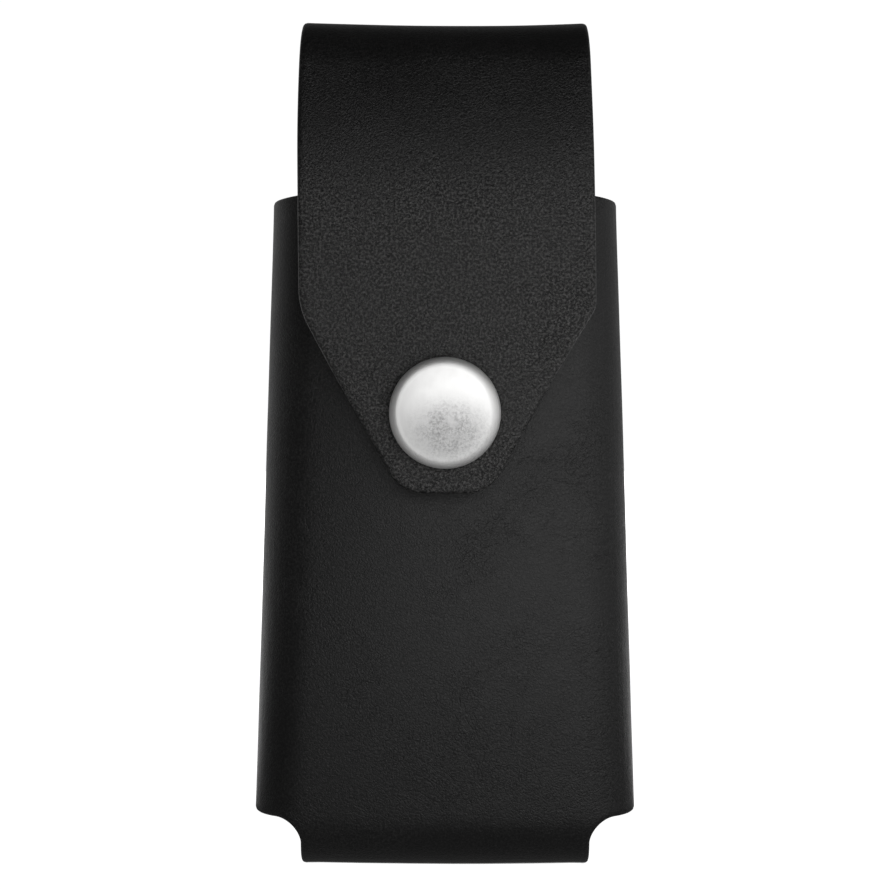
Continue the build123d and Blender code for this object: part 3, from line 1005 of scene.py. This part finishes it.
# %% [markdown]
# ## Rivets
# Six domed rivets hold the wings and the strap to the back. They are all one shape, so Geometry Nodes make
# them: a ball is pressed into a flat dome by a rule, and put on every seat, each turned by its own chance
# angle so that no two catch the light alike. The seats come from the model's own rivet caps.

# %% Rivet tree
underside = 0.12  # how far the ball's lower half is kept, as a share of the height


def rivet_tree():
    """Geometry Nodes that put one domed head on every point of a mesh."""
    tree = bpy.data.node_groups.new("domed_rivets", "GeometryNodeTree")
    tree.interface.new_socket("Geometry", in_out="INPUT", socket_type="NodeSocketGeometry")
    for title, kind, value in (
        ("Radius", "NodeSocketFloat", 0.004), ("Height", "NodeSocketFloat", 0.0016),
        ("Flatness", "NodeSocketFloat", 0.6), ("Turn Seed", "NodeSocketInt", 3),
    ):
        tree.interface.new_socket(title, in_out="INPUT", socket_type=kind).default_value = value
    tree.interface.new_socket("Finish", in_out="INPUT", socket_type="NodeSocketMaterial")
    tree.interface.new_socket("Geometry", in_out="OUTPUT", socket_type="NodeSocketGeometry")
    board = Board(tree)
    given = tree.nodes.new("NodeGroupInput")
    seats, radius, height, flatness, seed, finish = (Wire(board, given.outputs[i]) for i in range(6))
    ball = board.node("GeometryNodeMeshUVSphere", {}, {"Segments": 56, "Rings": 28, "Radius": 1.0})
    upright = board.node("GeometryNodeTransform", {}, {"Geometry": ball, "Rotation": (math.pi / 2, 0, 0)})
    at = board.node("GeometryNodeInputPosition")
    side, out, rise = (board.axis(at, i) for i in range(3))
    dome = (out.math("MAXIMUM", out, 0) ** flatness) * height
    foot = out.math("MINIMUM", out, 0) * height * underside
    pressed_place = board.node("ShaderNodeCombineXYZ", {}, {0: side * radius, 1: dome + foot, 2: rise * radius})
    head = board.node("GeometryNodeSetPosition", {}, {"Geometry": upright, "Position": pressed_place})
    smooth = board.node("GeometryNodeSetShadeSmooth", {}, {"Geometry": head})
    turn = board.node("FunctionNodeRandomValue", {"data_type": "FLOAT_VECTOR"}, {
        0: (0, 0, 0), 1: (0, 2 * math.pi, 0), "Seed": seed,
    })
    placed = board.node("GeometryNodeInstanceOnPoints", {}, {"Points": seats, "Instance": smooth, "Rotation": turn})
    solid = board.node("GeometryNodeRealizeInstances", {}, {"Geometry": placed})
    coated = board.node("GeometryNodeSetMaterial", {}, {"Geometry": solid, "Material": finish})
    board.connect(tree.nodes.new("NodeGroupOutput").inputs[0], coated)
    return tree


# %% [markdown]
# The seats become a mesh of bare points; the tree runs on it once and its result is kept as a plain mesh.

# %% Rivet seats
rivet_caps = sorted(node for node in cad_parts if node.startswith("rivet_cap"))
cap_boxes = [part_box(node) for node in rivet_caps]
rivet_seats = [((low.x + high.x) / 2, low.y, (low.z + high.z) / 2) for low, high in cap_boxes]
rivet_r = (cap_boxes[0][1].x - cap_boxes[0][0].x) / 2
rivet_h = cap_boxes[0][1].y - cap_boxes[0][0].y
print(len(rivet_seats), "seats for heads", round(2 * rivet_r / MM, 1), "mm wide and", round(rivet_h / MM, 1), "mm high")

# %% Rivet heads
seat_mesh = bpy.data.meshes.new("rivet_seats")
seat_mesh.from_pydata(rivet_seats, [], [])
seat_piece = new_object("rivet_seats", seat_mesh)
maker = seat_piece.modifiers.new("domed_rivets", "NODES")
maker.node_group = rivet_tree()
sizes = {"Radius": rivet_r, "Height": rivet_h, "Flatness": 0.6, "Turn Seed": 3, "Finish": rivet_finish}
for item in maker.node_group.interface.items_tree:
    if item.in_out == "INPUT" and item.name in sizes:
        maker[item.identifier] = sizes[item.name]
bpy.context.view_layer.update()
made = bpy.data.meshes.new_from_object(seat_piece.evaluated_get(bpy.context.evaluated_depsgraph_get()))
bpy.data.objects.remove(seat_piece)
rivet_heads = new_object("rivet_heads", made)
finish_with(rivet_heads, [rivet_finish])
turn_outwards(rivet_heads)
print("rivet_heads has", len(made.polygons), "faces")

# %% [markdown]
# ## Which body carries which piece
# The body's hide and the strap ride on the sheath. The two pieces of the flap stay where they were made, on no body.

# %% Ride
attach(hide_body, "sheath")
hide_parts("body_hide")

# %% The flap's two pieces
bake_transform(hide_rear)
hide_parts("flap_crown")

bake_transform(hide_front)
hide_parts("flap_front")

# %% Ride of the strap and the metal
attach(belt_strap, "sheath")
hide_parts("belt_loop")

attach(rivet_heads, "sheath")
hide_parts(*rivet_caps)

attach(snap_dome, "flap_front")
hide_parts("snap_cap")

# %% [markdown]
# ## The studio
# Black leather shows what it reflects, so the light is a tent. Its front half is dark cloth with one broad
# soft window, a little to the right of the camera and fading towards the floor. Its back half is open to a
# white room, which draws the thin light rims. The camera does not see the tent, only the plain pale floor
# and room behind it.

# %% Floor and room
def stage_piece(name, points, faces, material):
    """A part of the studio."""
    mesh = bpy.data.meshes.new(name)
    mesh.from_pydata(points, [], faces)
    piece = new_object(name, mesh)
    finish_with(piece, [material])
    return piece


floor_bench = Bench(
    "floor_paper", Base_Color=(0.9, 0.9, 0.9, 1), Roughness=0.9, Emission_Color=(1, 1, 1, 1), Emission_Strength=1.0
)
stage_piece("floor", [(-4, -4, 0), (4, -4, 0), (4, 4, 0), (-4, 4, 0)], [(0, 1, 2, 3)], floor_bench.material)

world = bpy.data.worlds.new("white_room")
bpy.context.scene.world = world
world.use_nodes = True
backdrop = world.node_tree.nodes["Background"]
backdrop.inputs["Color"].default_value = (1, 1, 1, 1)
backdrop.inputs["Strength"].default_value = 1.03

# %% [markdown]
# The cloth glows by direction, seen from the sheath: azimuth 0 is straight ahead, positive to the right.
# The broad window is side_light times level_light; the rest are faint fills for rims, left side and foot.

# %% Light of the tent
tent_middle = (0, flap_y, top_z / 2)
tent_bench = Bench("tent_cloth", Base_Color=(0, 0, 0, 1), Specular_IOR_Level=0.0, Emission_Strength=1.0)
heading = tent_bench.vector("NORMALIZE", tent_bench.vector("SUBTRACT", tent_bench.place, tent_middle))
across, depth, rise = (tent_bench.axis(heading, i) for i in range(3))
azimuth = across.math("ARCTAN2", across, 0 - depth)
height = rise.math("ARCSINE", rise)


def fade(value, start, end):
    """0 before one angle, 1 after another, in degrees."""
    return tent_bench.step(value, math.radians(start), math.radians(end))


side_light = fade(azimuth, -29, -3) * (1 - 0.5 * fade(azimuth, 36, 66)) * (1 - fade(azimuth, 88, 108))
level_light = (0.42 * fade(height, -46, -16) + 0.58 * fade(height, -5, 9)) * (1 - fade(height, 15, 29))
around = azimuth.math("ABSOLUTE", azimuth)
rim_light = 0.27 * fade(around, 85, 125) * (1 - fade(height, 20, 60)) * fade(height, -30, -5)
left_fill = 0.11 * (1 - fade(azimuth, -75, -50)) * (1 - fade(height, 10, 40)) * fade(height, -30, -5)
ground_glow = 0.1 * (1 - fade(height, -60, -35))
low_light = 0.3 * fade(height, -55, -42) * (1 - fade(height, -28, -14)) * (1 - fade(around, 45, 80))
fills = 0.04 + ground_glow + low_light + left_fill + rim_light
tent_bench.feed(Emission_Color=fills + 1.62 * side_light * level_light)
print("The tent's light has", len(tent_bench.tree.nodes), "nodes")

# %% [markdown]
# The tent is part of a ball, tilted back and cut off at the floor. Dark cards cover the floor beside it.

# %% Shape of the tent
tent_r, tent_z, tent_front_y = 0.45, 0.0005, -0.008
tent_tilt = math.radians(35)
tent_reach, tent_side_reach = 128, 14
tent_rows, spokes = 16, 48
card_x, card_far_x, card_back_y = 0.034, 0.5, 0.03
tent_up = Vector((0, -math.cos(tent_tilt), math.sin(tent_tilt)))
tent_side = Vector((1, 0, 0))
tent_over = tent_side.cross(tent_up)
tent_points, tent_faces = [], []
for row in range(tent_rows + 1):
    for i in range(spokes):
        round_it = 2 * math.pi * i / spokes
        away = row / tent_rows * (tent_reach + tent_side_reach * abs(math.cos(round_it)))
        spread = tent_side * math.cos(round_it) + tent_over * math.sin(round_it)
        point = (tent_up * math.cos(math.radians(away)) + spread * math.sin(math.radians(away))) * tent_r
        if point.z < tent_z:
            point = Vector((point.x, point.y, tent_z))
        tent_points.append(tuple(point))
for row in range(tent_rows):
    for i in range(spokes):
        face = (row * spokes + i, row * spokes + (i + 1) % spokes,
                (row + 1) * spokes + (i + 1) % spokes, (row + 1) * spokes + i)
        if max(tent_points[v][2] for v in face) > tent_z:
            tent_faces.append(face)
for low_x, high_x, low_y, high_y in (
    (-card_far_x, card_far_x, -tent_r, tent_front_y),
    (-card_far_x, -card_x, tent_front_y, card_back_y),
    (card_x, card_far_x, tent_front_y, card_back_y),
):
    first = len(tent_points)
    corners = (low_x, low_y), (high_x, low_y), (high_x, high_y), (low_x, high_y)
    tent_points += [(x, y, tent_z) for x, y in corners]
    tent_faces.append((first, first + 1, first + 2, first + 3))
tent = stage_piece("light_tent", tent_points, tent_faces, tent_bench.material)
tent.visible_camera = False
print("The tent has", len(tent_faces), "faces and doesn't show")

# %% [markdown]
# ## The camera
# It stands level with the sheath's middle, and close, so that the flap looks larger than the body behind.

# %% Camera
camera_data = bpy.data.cameras.new("camera")
camera = new_object("camera", camera_data)
camera_gap, camera_z = 260 * MM, 59.0 * MM
half_view = 59.8 * MM
camera_data.sensor_width = 36
camera_data.lens = camera_data.sensor_width / 2 * camera_gap / half_view
camera.location = (0, flap_y - camera_gap, camera_z)
camera.rotation_mode = "QUATERNION"
camera.rotation_quaternion = Vector((0, 1, 0)).to_track_quat("-Z", "Y")
camera_data.clip_start, camera_data.clip_end = 0.01, 20
bpy.context.scene.camera = camera
bpy.context.scene.view_settings.view_transform = "Standard"
print("Lens:", round(camera_data.lens, 1), "mm")
